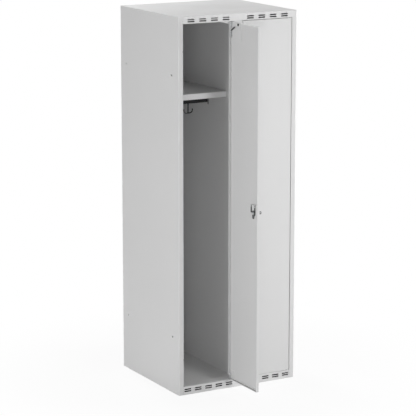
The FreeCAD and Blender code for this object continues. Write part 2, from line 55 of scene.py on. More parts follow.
SIDES = ("left", "right")
UP = Vector((0, 0, 1))
RIGHT = Vector((1, 0, 0))
BACKWARD = Vector((0, 1, 0))
FORWARD = -BACKWARD

# Greys of the finishes, as linear light
COAT_LIGHT = (0.715, 0.715, 0.715, 1)
COAT_DEEP = (0.685, 0.685, 0.685, 1)
COAT_DUST = (0.64, 0.64, 0.635, 1)
# Painted shade: the grey of the bottom ledges inside the door pans, where shade falls in the corner
LEDGE_PAINTED_SHADE = (0.50, 0.50, 0.495, 1)
# Painted shade inside the top rail: dark grey over the open bay, near black over the shut bay
RAIL_INSIDE_PAINTED_SHADE = (0.10, 0.10, 0.10, 1)
RAIL_RIGHT_PAINTED_SHADE = (0.012, 0.012, 0.012, 1)
BLACK_LIGHT = (0.022, 0.022, 0.023, 1)
BLACK_DEEP = (0.010, 0.010, 0.0105, 1)
BLACK_RUBBED = (0.075, 0.075, 0.077, 1)
CAM_RUBBED = (0.17, 0.17, 0.172, 1)
ZINC_BRIGHT = (0.68, 0.69, 0.70, 1)
ZINC_DULL = (0.50, 0.51, 0.52, 1)
NICKEL_BRIGHT = (0.72, 0.71, 0.69, 1)
NICKEL_DULL = (0.55, 0.54, 0.525, 1)
NYLON_LIGHT = (0.11, 0.11, 0.11, 1)
NYLON_DEEP = (0.08, 0.08, 0.08, 1)
RUBBER_LIGHT = (0.035, 0.035, 0.035, 1)
RUBBER_DEEP = (0.018, 0.018, 0.018, 1)

# Where painted shade darkens the coat, and the sheet's thickness
LEDGE_TOP = 0.045
LEDGE_FADE = 0.004
RAIL_FADE = 0.02
SHEET = 0.001


class Value:
    """A number that changes over a surface. Sums on it add Math nodes to its finish."""

    def __init__(self, finish, socket):
        self.finish = finish
        self.socket = socket

    def sum(self, operation, first, second):
        return self.finish.node("Math", {"operation": operation}, {0: first, 1: second})

    def __add__(self, other):
        return self.sum("ADD", self, other)

    def __radd__(self, other):
        return self.sum("ADD", other, self)

    def __sub__(self, other):
        return self.sum("SUBTRACT", self, other)

    def __rsub__(self, other):
        return self.sum("SUBTRACT", other, self)

    def __mul__(self, other):
        return self.sum("MULTIPLY", self, other)

    def __rmul__(self, other):
        return self.sum("MULTIPLY", other, self)

    def __abs__(self):
        return self.finish.node("Math", {"operation": "ABSOLUTE"}, {0: self})

    def between(self, low, high):
        """0 at low, 1 at high, and smooth between them."""
        return self.finish.node("MapRange", {"interpolation_type": "SMOOTHSTEP"},
                                {"Value": self, "From Min": low, "From Max": high})


class Finish:
    """A material and the nodes in it."""

    def __init__(self, holder):
        holder.use_nodes = True
        self.holder = holder
        self.tree = holder.node_tree
        self.tree.nodes.clear()

    def node(self, kind, settings=None, sockets=None, output=0):
        made = self.tree.nodes.new("ShaderNode" + kind)
        for name, setting in (settings or {}).items():
            setattr(made, name, setting)
        for name, value in (sockets or {}).items():
            if isinstance(value, Value):
                self.tree.links.new(value.socket, made.inputs[name])
            else:
                made.inputs[name].default_value = value
        return Value(self, made.outputs[output]) if made.outputs else None

    def place(self):
        return self.node("TexCoord", output="Object")

    def axis(self, vector, letter):
        return self.node("SeparateXYZ", {}, {0: vector}, output=letter)

    def stretched(self, scale):
        return self.node("Mapping", {}, {"Vector": self.place(), "Scale": scale})

    def noise(self, scale, detail=2.0, place=None):
        sockets = {"Vector": place or self.place(), "Scale": scale, "Detail": detail}
        return self.node("TexNoise", {}, sockets)

    def blend(self, share, first, second):
        return self.node("Mix", {"data_type": "RGBA"}, {0: share, 6: first, 7: second}, output=2)

    def bump(self, height, strength, distance):
        return self.node("Bump", {}, {"Height": height, "Strength": strength, "Distance": distance})

    def surface(self, colour, roughness, normal, metallic=0.0, **constants):
        sockets = {"Base Color": colour, "Roughness": roughness, "Normal": normal, "Metallic": metallic}
        shader = self.node("BsdfPrincipled", {}, {**sockets, **constants})
        self.node("OutputMaterial", {}, {"Surface": shader})
        return self.holder


def new_finish(name):
    return Finish(bpy.data.materials.new(name))


def faces_up(coat):
    """1 on faces that look up, 0 on the rest."""
    return coat.axis(coat.node("TexCoord", output="Normal"), "Z").between(0.6, 0.95)


def ledge_painted_shade(coat, place):
    """Painted shade on the low ledges of a door, in the inner corner of its pan: where it lies, and its
    grey.
    """
    above = coat.axis(place, "Z").between(LEDGE_TOP, LEDGE_TOP + LEDGE_FADE)
    return faces_up(coat) * (1 - above), LEDGE_PAINTED_SHADE


def rail_inside_painted_shade(coat, place):
    """Inside of the top rail, behind its face and over its return, and its grey.

    There the coat takes painted shade: dark grey in the left half, and near black in the right half over
    the shut bay.
    """
    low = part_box("top_rail")[0]
    behind = coat.axis(place, "Y").between(low.y + SHEET * 1.1, low.y + SHEET * 1.6)
    over = coat.axis(place, "Z").between(low.z + SHEET * 0.3, low.z + SHEET * 0.7)
    right_half = coat.axis(place, "X").between(-RAIL_FADE, RAIL_FADE)
    # Painted shade, darker in the right half
    return behind * over, coat.blend(right_half, RAIL_INSIDE_PAINTED_SHADE, RAIL_RIGHT_PAINTED_SHADE)


def powder_coat(name, painted_shade=None):
    """Grey powder coat: fine orange peel, slow clouds in the tone, and dust on faces that look up.

    A coat may take another grey in places, which is painted shade.
    """
    coat = new_finish(name)
    place = coat.place()
    peel = coat.noise(scale=620.0, detail=2.0, place=place)
    clouds = coat.noise(scale=2.6, detail=3.0, place=place)
    grain = coat.noise(scale=240.0, detail=1.0, place=place)
    tone = (clouds - 0.5) * 0.9 + (grain - 0.5) * 0.35 + 0.5
    colour = coat.blend(tone, COAT_LIGHT, COAT_DEEP)
    dust = faces_up(coat) * coat.noise(scale=5.0, detail=5.0, place=place).between(0.35, 0.75) * 0.35
    colour = coat.blend(dust, colour, COAT_DUST)
    if painted_shade:
        # Painted shade: a darker grey where the mask lies
        share, grey = painted_shade(coat, place)
        colour = coat.blend(share, colour, grey)
    roughness = 0.50 + (clouds - 0.5) * 0.12 + dust * 0.4
    relief = coat.bump(peel, strength=0.10, distance=0.0004)
    return coat.surface(colour, roughness, relief, IOR=1.45)


def black_coat(name, rubbed, few, many):
    """Satin black on steel, rubbed paler in patches: the lower few and many are, the more of them."""
    coat = new_finish(name)
    place = coat.place()
    fine = coat.noise(scale=900.0, detail=2.0, place=place)
    rub = coat.noise(scale=85.0, detail=4.0, place=place).between(few, many)
    colour = coat.blend(coat.noise(scale=40.0, detail=3.0, place=place), BLACK_LIGHT, BLACK_DEEP)
    colour = coat.blend(rub, colour, rubbed)
    roughness = 0.38 + fine * 0.12
    relief = coat.bump(fine, strength=0.15, distance=0.0002)
    return coat.surface(colour, roughness, relief, IOR=1.5)


def zinc_plate():
    """Dull zinc with rolling streaks and clouds."""
    plate = new_finish("zinc")
    streaks = plate.noise(scale=60.0, detail=3.0, place=plate.stretched((1.0, 1.0, 14.0)))
    clouds = plate.noise(scale=70.0, detail=4.0)
    colour = plate.blend((clouds * 0.7 + streaks * 0.3).between(0.35, 0.65), ZINC_BRIGHT, ZINC_DULL)
    roughness = 0.38 + clouds * 0.22
    relief = plate.bump(streaks, strength=0.08, distance=0.0002)
    return plate.surface(colour, roughness, relief, metallic=0.5)


def nickel_plate():
    """Polished nickel with faint handling marks."""
    plate = new_finish("polished_metal")
    marks = plate.noise(scale=160.0, detail=5.0)
    colour = plate.blend(marks.between(0.45, 0.75), NICKEL_BRIGHT, NICKEL_DULL)
    roughness = 0.12 + marks * 0.14
    relief = plate.bump(marks, strength=0.05, distance=0.0001)
    return plate.surface(colour, roughness, relief, metallic=1.0)


def moulded_nylon():
    """Dark nylon with a fine moulded grain."""
    nylon = new_finish("nylon")
    grain = nylon.noise(scale=500.0, detail=3.0)
    colour = nylon.blend(nylon.noise(scale=60.0, detail=2.0), NYLON_LIGHT, NYLON_DEEP)
    roughness = 0.42 + grain * 0.1
    relief = nylon.bump(grain, strength=0.1, distance=0.0002)
    return nylon.surface(colour, roughness, relief, IOR=1.53)


def soft_rubber():
    """Dull black rubber with a chalky bloom."""
    rubber = new_finish("rubber")
    grain = rubber.noise(scale=700.0, detail=3.0)
    colour = rubber.blend(rubber.noise(scale=90.0, detail=3.0), RUBBER_LIGHT, RUBBER_DEEP)
    roughness = 0.72 + grain * 0.12
    relief = rubber.bump(grain, strength=0.2, distance=0.0002)
    return rubber.surface(colour, roughness, relief, IOR=1.5)


finishes = {
    "paint": powder_coat("paint"),
    "black_steel": black_coat("black_steel", BLACK_RUBBED, 0.60, 0.95),
    "zinc": zinc_plate(),
    "polished_metal": nickel_plate(),
    "nylon": moulded_nylon(),
    "rubber": soft_rubber(),
}
# The door coat carries painted shade on the bottom ledges of the pans
door_coat = powder_coat("door_paint", ledge_painted_shade)
cam_coat = black_coat("rubbed_black", CAM_RUBBED, 0.30, 0.60)
# Coats with painted shade on the doors and the top rail, and the worn, rubbed cams
painted_shade_or_worn_coats = {
    "door_left": door_coat,
    "door_right": door_coat,
    "top_rail": powder_coat("rail_paint", rail_inside_painted_shade),
    "lock_cam_left": cam_coat,
    "lock_cam_right": cam_coat,
}
for subpart in frame["record"]["subparts"]:
    node = subpart["node"]
    mesh = nodes[node].data
    mesh.materials.clear()
    mesh.materials.append(painted_shade_or_worn_coats.get(node, finishes[subpart["material_slot"]]))


# Modelling steps that the small pieces share

# Least cosine between a face's normal and the direction that the face is said to look in
FACING = 0.9
# Edges flatter than this are shaded smooth
SMOOTH_BELOW = math.radians(35)


def only(piece):
    """Selects one piece and nothing else, in object mode."""
    bpy.ops.object.select_all(action="DESELECT")
    piece.select_set(True)
    bpy.context.view_layer.objects.active = piece


def pick(piece, test):
    """Opens the piece in edit mode with the faces selected whose centre and normal pass the test."""
    only(piece)
    for part in (piece.data.vertices, piece.data.edges):
        for item in part:
            item.select = False
    for face in piece.data.polygons:
        face.select = test(face.center, face.normal)
    bpy.ops.object.mode_set(mode="EDIT")
    bpy.ops.mesh.select_mode(type="FACE")


def pick_edges(piece, test):
    """Opens the piece in edit mode with the edges selected whose two ends pass the test."""
    pick(piece, lambda centre, normal: False)
    bpy.ops.mesh.select_mode(type="EDGE")
    close()
    points = piece.data.vertices
    for edge in piece.data.edges:
        edge.select = test(*[points[end].co for end in edge.vertices])
    bpy.ops.object.mode_set(mode="EDIT")


def close():
    """Leaves edit mode."""
    bpy.ops.object.mode_set(mode="OBJECT")


def start_round(radius, x, height, sides):
    """Opens a new round face, which looks up, in edit mode."""
    bpy.ops.object.select_all(action="DESELECT")
    place = (x, 0, height)
    bpy.ops.mesh.primitive_circle_add(vertices=sides, radius=radius, fill_type="NGON", location=place)
    piece = bpy.context.object
    bpy.ops.object.transform_apply(location=True)
    bpy.ops.object.mode_set(mode="EDIT")
    bpy.ops.mesh.select_mode(type="FACE")
    bpy.ops.mesh.select_all(action="SELECT")
    return piece


def grow(profile, x):
    """Draws the selected round face out from ring to ring, round an upright line at x.

    Each point of a profile is a radius and a height.
    """
    for (old_radius, old_height), (radius, height) in zip(profile, profile[1:]):
        bpy.ops.mesh.extrude_region_move(TRANSFORM_OT_translate={"value": (0, 0, height - old_height)})
        scale = radius / old_radius
        bpy.ops.transform.resize(value=(scale, scale, 1), center_override=(x, 0, height))


def close_outward():
    """Turns all faces of the open piece outwards and leaves edit mode."""
    bpy.ops.mesh.select_all(action="SELECT")
    bpy.ops.mesh.normals_make_consistent(inside=False)
    close()


def turned(profile, sides=32):
    """Solid turned round the Z axis, with its profile from foot to top."""
    radius, height = profile[0]
    piece = start_round(radius, 0, height, sides)
    grow(profile, 0)
    close_outward()
    return piece


def slab(thickness, breadth, length):
    """Flat bar: thick along X, broad along Y and long up Z from the origin."""
    bpy.ops.object.select_all(action="DESELECT")
    bpy.ops.mesh.primitive_cube_add(size=1, location=(0, 0, length / 2))
    piece = bpy.context.object
    piece.scale = (thickness, breadth, length)
    bpy.ops.object.transform_apply(location=True, rotation=True, scale=True)
    return piece


def combined(piece, other, operation):
    """Adds the shape of the other piece or takes it away, and throws the other piece away."""
    only(piece)
    change = piece.modifiers.new("combine", "BOOLEAN")
    change.operation = operation
    change.solver = "EXACT"
    change.object = other
    bpy.ops.object.modifier_apply(modifier=change.name)
    only(other)
    bpy.ops.object.delete()
    return piece


def cut(piece, cutter):
    return combined(piece, cutter, "DIFFERENCE")


def welded(piece, *others):
    for other in others:
        combined(piece, other, "UNION")
    return piece


def bored(piece, radius, low, high):
    """Cuts a round hole along the Z axis."""
    return cut(piece, turned([(radius, low), (radius, high)]))


def softened(piece, width, segments=2):
    """Rounds every sharp edge a little."""
    only(piece)
    change = piece.modifiers.new("soften", "BEVEL")
    change.width = width
    change.segments = segments
    change.limit_method = "ANGLE"
    bpy.ops.object.modifier_apply(modifier=change.name)
    return piece


def copies(model, count):
    """The model and its copies, each with a mesh of its own."""
    made = [model]
    while len(made) < count:
        only(model)
        bpy.ops.object.duplicate(linked=False)
        made.append(bpy.context.object)
    return made


def pair(model):
    """The model for the left side and a copy of it for the right side."""
    return zip(SIDES, copies(model, len(SIDES)))


def joined(pieces):
    """Makes one piece of several."""
    bpy.ops.object.select_all(action="DESELECT")
    for piece in pieces:
        piece.select_set(True)
    bpy.context.view_layer.objects.active = pieces[0]
    bpy.ops.object.join()
    return pieces[0]


def settled(piece, place, turn):
    """Turns a piece, moves it to its place and leaves both in its mesh."""
    piece.matrix_world = Matrix.Translation(place) @ turn.to_4x4()
    only(piece)
    bpy.ops.object.transform_apply(location=True, rotation=True, scale=True)
    return piece


def set_on(piece, place, toward):
    """Settles a piece that stands on the Z axis so that it points in a direction."""
    return settled(piece, place, toward.to_track_quat("Z", "Y").to_matrix())


def fitted(piece, name, body, slot, *stands_for):
    """Names a finished piece, gives it its finish and ties it to its body."""
    piece.name = name
    only(piece)
    bpy.ops.object.shade_smooth_by_angle(angle=SMOOTH_BELOW)
    piece.data.materials.clear()
    piece.data.materials.append(finishes[slot])
    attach(piece, body)
    if stands_for:
        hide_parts(*stands_for)
    return piece


# Directions on the doors as they stand in the frame: the left one is open, the right one is shut
OUT_OF = {"left": RIGHT, "right": FORWARD}
TOWARD_HINGE = {"left": BACKWARD, "right": RIGHT}


def extent(box, toward):
    return abs((box[1] - box[0]).dot(toward))


def foot(box, toward):
    """Middle of the box's face that a piece stands on when it points in a direction."""
    return (box[0] + box[1] - toward * extent(box, toward)) / 2


def cross_cutter(reach, width, depth, top):
    """Tapered cross that leaves the recess for a cross screwdriver."""
    foot_share = 0.45
    close_by = width / 10
    bpy.ops.object.select_all(action="DESELECT")
    bpy.ops.mesh.primitive_cube_add(size=width, location=(0, 0, 0))
    cutter = bpy.context.object
    for arm in (RIGHT, -RIGHT, BACKWARD, FORWARD):
        pick(cutter, lambda centre, normal: (
            normal.dot(arm) > FACING and centre.cross(arm).length < close_by))
        bpy.ops.mesh.extrude_region_move(TRANSFORM_OT_translate={"value": arm * (reach - width / 2)})
        close()
    pick(cutter, lambda centre, normal: normal.z < -FACING)
    bpy.ops.transform.resize(value=(foot_share, foot_share, 1), center_override=(0, 0, -width / 2))
    close()
    cutter.scale = (1, 1, 2 * depth / width)
    cutter.location = (0, 0, top)
    only(cutter)
    bpy.ops.object.transform_apply(location=True, rotation=True, scale=True)
    return cutter


def pan_head(radius, height):
    """Pan head with a cross recess, standing on the Z axis."""
    head = turned([
        (radius, 0), (radius, height * 0.45), (radius * 0.95, height * 0.7),
        (radius * 0.82, height * 0.9), (radius * 0.6, height),
    ])
    recess = cross_cutter(reach=radius * 0.62, width=radius * 0.3, depth=height * 0.55, top=height)
    return cut(head, recess)


def hinge_screws():
    """The black pan screw inside each door, beside its upper hinge."""
    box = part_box("hinge_screw_left")
    model = pan_head(extent(box, UP) / 2, extent(box, OUT_OF["left"]))
    for side, screw in pair(model):
        node = "hinge_screw_" + side
        set_on(screw, foot(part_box(node), -OUT_OF[side]), -OUT_OF[side])
        fitted(screw, "hinge_pan_screw_" + side, "door_" + side, "black_steel", node)


def bracket_screws():
    """Two pan screws in each lock, one through each bar of its case."""
    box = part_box("bracket_screws_left")
    radius = extent(box, UP) / 2
    half_spread = extent(box, TOWARD_HINGE["left"]) / 2 - radius
    model = pan_head(radius, extent(box, OUT_OF["left"]))
    screws = copies(model, 2 * len(SIDES))
    for side in SIDES:
        node = "bracket_screws_" + side
        middle = foot(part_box(node), -OUT_OF[side])
        both = [screws.pop(), screws.pop()]
        for screw, step in zip(both, (-half_spread, half_spread)):
            set_on(screw, middle + TOWARD_HINGE[side] * step, -OUT_OF[side])
        fitted(joined(both), "case_pan_screws_" + side, "door_" + side, "zinc", node)


def cam_screws():
    """The pan screw of each cam, on the shank that goes into the lock core."""
    head_height = 0.0025
    shank_radius = 0.002
    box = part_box("cam_screw_left")
    top = extent(box, OUT_OF["left"])
    head_foot = top - head_height
    radius = extent(box, UP) / 2
    model = turned([
        (shank_radius, 0), (shank_radius, head_foot), (radius, head_foot),
        (radius, head_foot + head_height * 0.5), (radius * 0.93, head_foot + head_height * 0.8),
        (radius * 0.72, top),
    ])
    recess = cross_cutter(reach=radius * 0.6, width=radius * 0.26, depth=head_height * 0.5, top=top)
    cut(model, recess)
    for side, screw in pair(model):
        node = "cam_screw_" + side
        set_on(screw, foot(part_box(node), -OUT_OF[side]), -OUT_OF[side])
        fitted(screw, "cam_pan_screw_" + side, "lock_" + side, "zinc", node)


def back_rivets():
    """Domed blind rivets with the broken mandrel in their middle, down both back flanges."""
    radius = 0.003
    rows = 7
    low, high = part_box("back_rivets")
    height = extent((low, high), BACKWARD)
    hole = radius * 0.42
    step = (high.z - low.z - 2 * radius) / (rows - 1)
    model = turned([
        (radius, 0), (radius, height * 0.2), (radius * 0.93, height * 0.55),
        (radius * 0.75, height * 0.85), (hole * 1.15, height), (hole, height * 0.95),
        (hole * 0.95, height * 0.5), (hole * 0.8, height * 0.45), (hole * 0.3, height * 0.62),
    ], sides=24)
    rivets = copies(model, 2 * rows)
    for count, rivet in enumerate(rivets):
        x = low.x + radius if count < rows else high.x - radius
        set_on(rivet, Vector((x, low.y, low.z + radius + count % rows * step)), BACKWARD)
    fitted(joined(rivets), "back_blind_rivets", "cabinet", "paint", "back_rivets")


def door_buffers():
    """Soft rubber buttons with a rounded face and a dimple, two for each door."""
    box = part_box("door_buffers_left")
    height = extent(box, FORWARD)
    radius = (box[1].x - box[0].x) / 2
    model = turned([
        (radius, 0), (radius, height * 0.5), (radius * 0.94, height * 0.8), (radius * 0.8, height),
        (radius * 0.35, height), (radius * 0.2, height * 0.85),
    ])
    buttons = copies(model, 2 * len(SIDES))
    for side in SIDES:
        node = "door_buffers_" + side
        low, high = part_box(node)
        both = [buttons.pop(), buttons.pop()]
        for button, z in zip(both, (low.z + radius, high.z - radius)):
            set_on(button, Vector(((low.x + high.x) / 2, high.y, z)), FORWARD)
        fitted(joined(both), "door_buttons_" + side, "cabinet", "rubber", node)


# Sizes of the hinge pins
PIN_RADIUS = 0.0025
COLLAR_RADIUS = 0.0035
COLLAR_HEIGHT = 0.002


def pin_springs():
    """Coil spring on each upper hinge pin."""
    wire = 0.0004
    wire_sides = 10
    turns = 7
    turn_steps = 28
    low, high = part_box("pin_spring_left")
    coil_radius = (high.x - low.x) / 2 - wire
    bpy.ops.object.select_all(action="DESELECT")
    bpy.ops.mesh.primitive_circle_add(vertices=wire_sides, radius=wire, location=(0, 0, 0))
    model = bpy.context.object
    bpy.ops.object.mode_set(mode="EDIT")
    bpy.ops.mesh.select_all(action="SELECT")
    bpy.ops.transform.rotate(value=math.radians(90), orient_axis="X", center_override=(0, 0, 0))
    bpy.ops.transform.translate(value=(coil_radius, 0, wire))
    close()
    winding = model.modifiers.new("winding", "SCREW")
    winding.axis = "Z"
    winding.screw_offset = (high.z - low.z - 2 * wire) / turns
    winding.iterations = turns
    winding.steps = turn_steps
    winding.render_steps = turn_steps
    only(model)
    bpy.ops.object.modifier_apply(modifier=winding.name)
    bpy.ops.object.mode_set(mode="EDIT")
    bpy.ops.mesh.select_all(action="SELECT")
    bpy.ops.mesh.fill_holes(sides=0)
    close_outward()
    for side, coil in pair(model):
        node = "pin_spring_" + side
        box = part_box(node)
        set_on(coil, foot(box, UP), UP)
        fitted(coil, "pin_coil_" + side, "door_" + side, "zinc", node)
        "upper_pin_%s_slide" % side
        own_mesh(coil)


def upper_hinge_pins():
    """Plain pins with a collar and a tapered tip, each with a lever dipped in black."""
    lever_radius = 0.002
    grip_radius = 0.0026
    lever_run = 0.033
    lever_rise = 0.019
    low, high = [corner.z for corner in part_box("upper_hinge_pin_left")]
    collar_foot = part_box("pin_spring_left")[1].z
    collar_top = collar_foot + COLLAR_HEIGHT
    pin_model = turned([
        (PIN_RADIUS * 0.8, low), (PIN_RADIUS, low + PIN_RADIUS * 0.3), (PIN_RADIUS, collar_foot),
        (COLLAR_RADIUS, collar_foot), (COLLAR_RADIUS, collar_top), (PIN_RADIUS, collar_top),
        (PIN_RADIUS, high - PIN_RADIUS), (PIN_RADIUS * 0.6, high),
    ])
    length = math.hypot(lever_run, lever_rise)
    lever_model = turned([
        (lever_radius, 0), (lever_radius, length * 0.3), (grip_radius, length * 0.34),
        (grip_radius, length - grip_radius * 0.6), (grip_radius * 0.8, length - grip_radius * 0.2),
        (grip_radius * 0.4, length),
    ], sides=20)
    for (side, pin), (_, lever) in zip(pair(pin_model), pair(lever_model)):
        node = "upper_hinge_pin_" + side
        body = "upper_pin_" + side
        line = foot(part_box("pin_spring_" + side), UP)
        line.z = 0
        set_on(pin, line, UP)
        fitted(pin, "hinge_pin_" + side, body, "zinc", node)
        along = UP * lever_rise - TOWARD_HINGE[side] * lever_run
        set_on(lever, line + UP * (collar_top + lever_radius), along)
        fitted(lever, "pin_lever_" + side, body, "black_steel")


def lower_hinge_pins():
    """Fixed pins with a rounded foot, each held up by its collar on the lug of the lower hinge."""
    pin_tail = 0.0045
    low, high = [corner.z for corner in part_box("lower_hinge_pin_left")]
    collar_foot = high - pin_tail
    collar_top = collar_foot + COLLAR_HEIGHT
    model = turned([
        (PIN_RADIUS * 0.5, low), (PIN_RADIUS * 0.85, low + PIN_RADIUS * 0.25),
        (PIN_RADIUS, low + PIN_RADIUS * 0.7), (PIN_RADIUS, collar_foot), (COLLAR_RADIUS, collar_foot),
        (COLLAR_RADIUS, collar_top - COLLAR_HEIGHT * 0.2), (COLLAR_RADIUS * 0.94, collar_top),
        (PIN_RADIUS, collar_top), (PIN_RADIUS, high - PIN_RADIUS * 0.3), (PIN_RADIUS * 0.7, high),
    ])
    for side, pin in pair(model):
        node = "lower_hinge_pin_" + side
        line = foot(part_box(node), UP)
        line.z = 0
        set_on(pin, line, UP)
        fitted(pin, "hinge_foot_pin_" + side, "door_" + side, "zinc", node)


# Radius of the holes that the lock barrels go through
BARREL_HOLE = 0.0091


def lock_cylinders():
    """Nickel heads with a stepped rim, each with its barrel behind it, bored for the core."""
    bore = 0.00605
    head = 0.004
    barrel_radius = 0.009
    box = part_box("lock_cylinder_left")
    length = extent(box, OUT_OF["left"])
    radius = extent(box, UP) / 2
    model = turned([
        (bore * 1.15, head * 0.25), (radius * 0.72, head * 0.25), (radius * 0.78, 0),
        (radius * 0.92, 0), (radius, head * 0.4), (radius, head), (barrel_radius, head),
        (barrel_radius, length),
    ], sides=48)
    bored(model, bore, -head, length + head)
    for side, cylinder in pair(model):
        node = "lock_cylinder_" + side
        set_on(cylinder, foot(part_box(node), -OUT_OF[side]), -OUT_OF[side])
        fitted(cylinder, "lock_barrel_" + side, "door_" + side, "polished_metal", node)


def lock_nuts():
    """Chamfered hexagon nuts that clamp the lock barrels on the door skins."""
    chamfer = 0.0009
    across_flats = 0.025
    height = extent(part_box("lock_nut_left"), OUT_OF["left"])
    corner = across_flats / math.sqrt(3)
    model = turned([
        (corner - chamfer, 0), (corner, chamfer / 2),
        (corner, height - chamfer / 2), (corner - chamfer, height),
    ], sides=6)
    bored(model, BARREL_HOLE, -height, 2 * height)
    for side, nut in pair(model):
        node = "lock_nut_" + side
        set_on(nut, foot(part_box(node), -OUT_OF[side]), -OUT_OF[side])
        fitted(nut, "barrel_nut_" + side, "door_" + side, "zinc", node)


def lock_covers():
    """Pressed covers over the lock nuts, open to the door skins and holed for the barrels."""
    wall = 0.0015
    corner = 0.004
    rim = 0.0012
    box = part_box("lock_bracket_left")
    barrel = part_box("lock_cylinder_left")
    height = extent(box, OUT_OF["left"])
    model = slab(extent(box, TOWARD_HINGE["left"]), extent(box, UP), height)
    pick_edges(model, lambda start, end: abs(start.z - end.z) > height / 2)
    bpy.ops.mesh.bevel(offset=corner, segments=5, affect="EDGES")
    close()
    pick_edges(model, lambda start, end: min(start.z, end.z) > height - rim)
    bpy.ops.mesh.bevel(offset=rim, segments=3, affect="EDGES")
    close()
    pick(model, lambda centre, normal: normal.z < -FACING)
    bpy.ops.mesh.inset(thickness=wall)
    bpy.ops.mesh.extrude_region_move(TRANSFORM_OT_translate={"value": (0, 0, height - wall)})
    close()
    off_middle = (barrel[0] + barrel[1] - box[0] - box[1]) / 2
    drill = turned([(BARREL_HOLE, -height), (BARREL_HOLE, 2 * height)], sides=48)
    set_on(drill, Vector((off_middle.dot(TOWARD_HINGE["left"]), -off_middle.z, 0)), UP)
    cut(model, drill)
    for side, cover in pair(model):
        node = "lock_bracket_" + side
        turn = Matrix((TOWARD_HINGE[side], -UP, -OUT_OF[side])).transposed()
        settled(cover, foot(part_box(node), -OUT_OF[side]), turn)
        fitted(cover, "lock_cover_" + side, "door_" + side, "paint", node)


def key_bow(thickness, breadth, length):
    """Black moulded bow with rounded corners, sunk faces and a ring hole."""
    corner = 0.004
    rim = 0.0014
    recess = 0.0004
    hole = 0.0025
    bow = slab(thickness, breadth, length)
    pick_edges(bow, lambda start, end: abs(start.x - end.x) > thickness / 2)
    bpy.ops.mesh.bevel(offset=corner, segments=6, affect="EDGES")
    close()
    pick(bow, lambda centre, normal: abs(normal.x) > FACING)
    bpy.ops.mesh.inset(thickness=rim, depth=-recess, use_individual=True)
    close()
    ring = turned([(hole, -thickness), (hole, thickness)], sides=24)
    set_on(ring, UP * (length - 2 * hole), RIGHT)
    return softened(cut(bow, ring), recess / 2)


def key_blade(thickness, breadth, length):
    """Flat blade with a groove in each face and a drawn-in tip."""
    tip = 0.002
    tip_shares = (0.7, 0.45, 1)
    groove_rim = breadth * 0.3
    groove_depth = thickness * 0.2
    blade = settled(slab(thickness, breadth, length - tip), UP * tip, Matrix.Identity(3))
    pick(blade, lambda centre, normal: normal.z < -FACING)
    bpy.ops.mesh.extrude_region_move(TRANSFORM_OT_translate={"value": (0, 0, -tip)})
    bpy.ops.transform.resize(value=tip_shares, center_override=(0, 0, 0))
    close()
    pick(blade, lambda centre, normal: abs(normal.x) > FACING and centre.z > tip)
    bpy.ops.mesh.inset(thickness=groove_rim, depth=-groove_depth, use_individual=True)
    close()
    return blade


def keys():
    """A key in each lock."""
    bow_length = 0.017
    bow_thickness = 0.0026
    bow_overlap = 0.0014
    blade_thickness = 0.002
    blade_breadth = 0.006
    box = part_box("key_left")
    blade_length = extent(box, OUT_OF["left"]) - bow_length
    bow_model = key_bow(bow_thickness, extent(box, UP), bow_length)
    blade_model = key_blade(blade_thickness, blade_breadth, blade_length + bow_overlap)
    for (side, bow), (_, blade) in zip(pair(bow_model), pair(blade_model)):
        node = "key_" + side
        body = "lock_" + side
        tip = foot(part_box(node), OUT_OF[side])
        turn = Matrix((TOWARD_HINGE[side], UP, OUT_OF[side])).transposed()
        settled(bow, tip + OUT_OF[side] * blade_length, turn)
        settled(blade, tip, turn)
        fitted(bow, "key_bow_" + side, body, "nylon", node)
        fitted(blade, "key_blade_" + side, body, "polished_metal")


def shelf_angle(width, length, height):
    """Bent angle with rounded corners: one leg down the wall on its left, one holed leg under the shelf."""
    sheet = 0.0015
    corner = 0.004
    bend = 0.0012
    hole = 0.002
    close_by = sheet / 10
    angle = settled(slab(sheet, length, height), Vector((sheet / 2, 0, 0)), Matrix.Identity(3))
    pick(angle, lambda centre, normal: True)
    bpy.ops.mesh.bisect(plane_co=(0, 0, height - sheet), plane_no=UP)
    close()
    pick(angle, lambda centre, normal: normal.x > FACING and centre.z > height - sheet)
    bpy.ops.mesh.extrude_region_move(TRANSFORM_OT_translate={"value": (width - sheet, 0, 0)})
    close()

    def free_corner(start, end):
        on_foot = max(start.z, end.z) < close_by
        on_tip = min(start.x, end.x) > width - close_by
        return (on_foot or on_tip) and abs(start.y - end.y) < close_by

    def outer_bend(start, end):
        return max(start.x, end.x) < close_by and min(start.z, end.z) > height - close_by

    pick_edges(angle, free_corner)
    bpy.ops.mesh.bevel(offset=corner, segments=5, affect="EDGES")
    close()
    pick_edges(angle, outer_bend)
    bpy.ops.mesh.bevel(offset=bend, segments=4, affect="EDGES")
    close()
    drill = turned([(hole, 0), (hole, 2 * height)], sides=20)
    set_on(drill, Vector((width / 2, 0, 0)), UP)
    return cut(angle, drill)


def shelf_angles():
    """Four angles under each shelf, two on each wall."""
    each = 4
    width = 0.012
    length = 0.020
    low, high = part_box("shelf_clips_left")
    angles = copies(shelf_angle(width, length, high.z - low.z), each * len(SIDES))
    for side in SIDES:
        node = "shelf_clips_" + side
        low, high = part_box(node)
        four = [angles.pop() for _ in range(each)]
        rows = (low.y + length / 2, high.y - length / 2)
        walls = ((low.x, 0), (high.x, math.pi))
        for angle, (row, (wall, turn)) in zip(four, [(row, wall) for row in rows for wall in walls]):
            settled(angle, Vector((wall, row, low.z)), Matrix.Rotation(turn, 3, "Z"))
        fitted(joined(four), "shelf_angles_" + side, "cabinet", "paint", node)


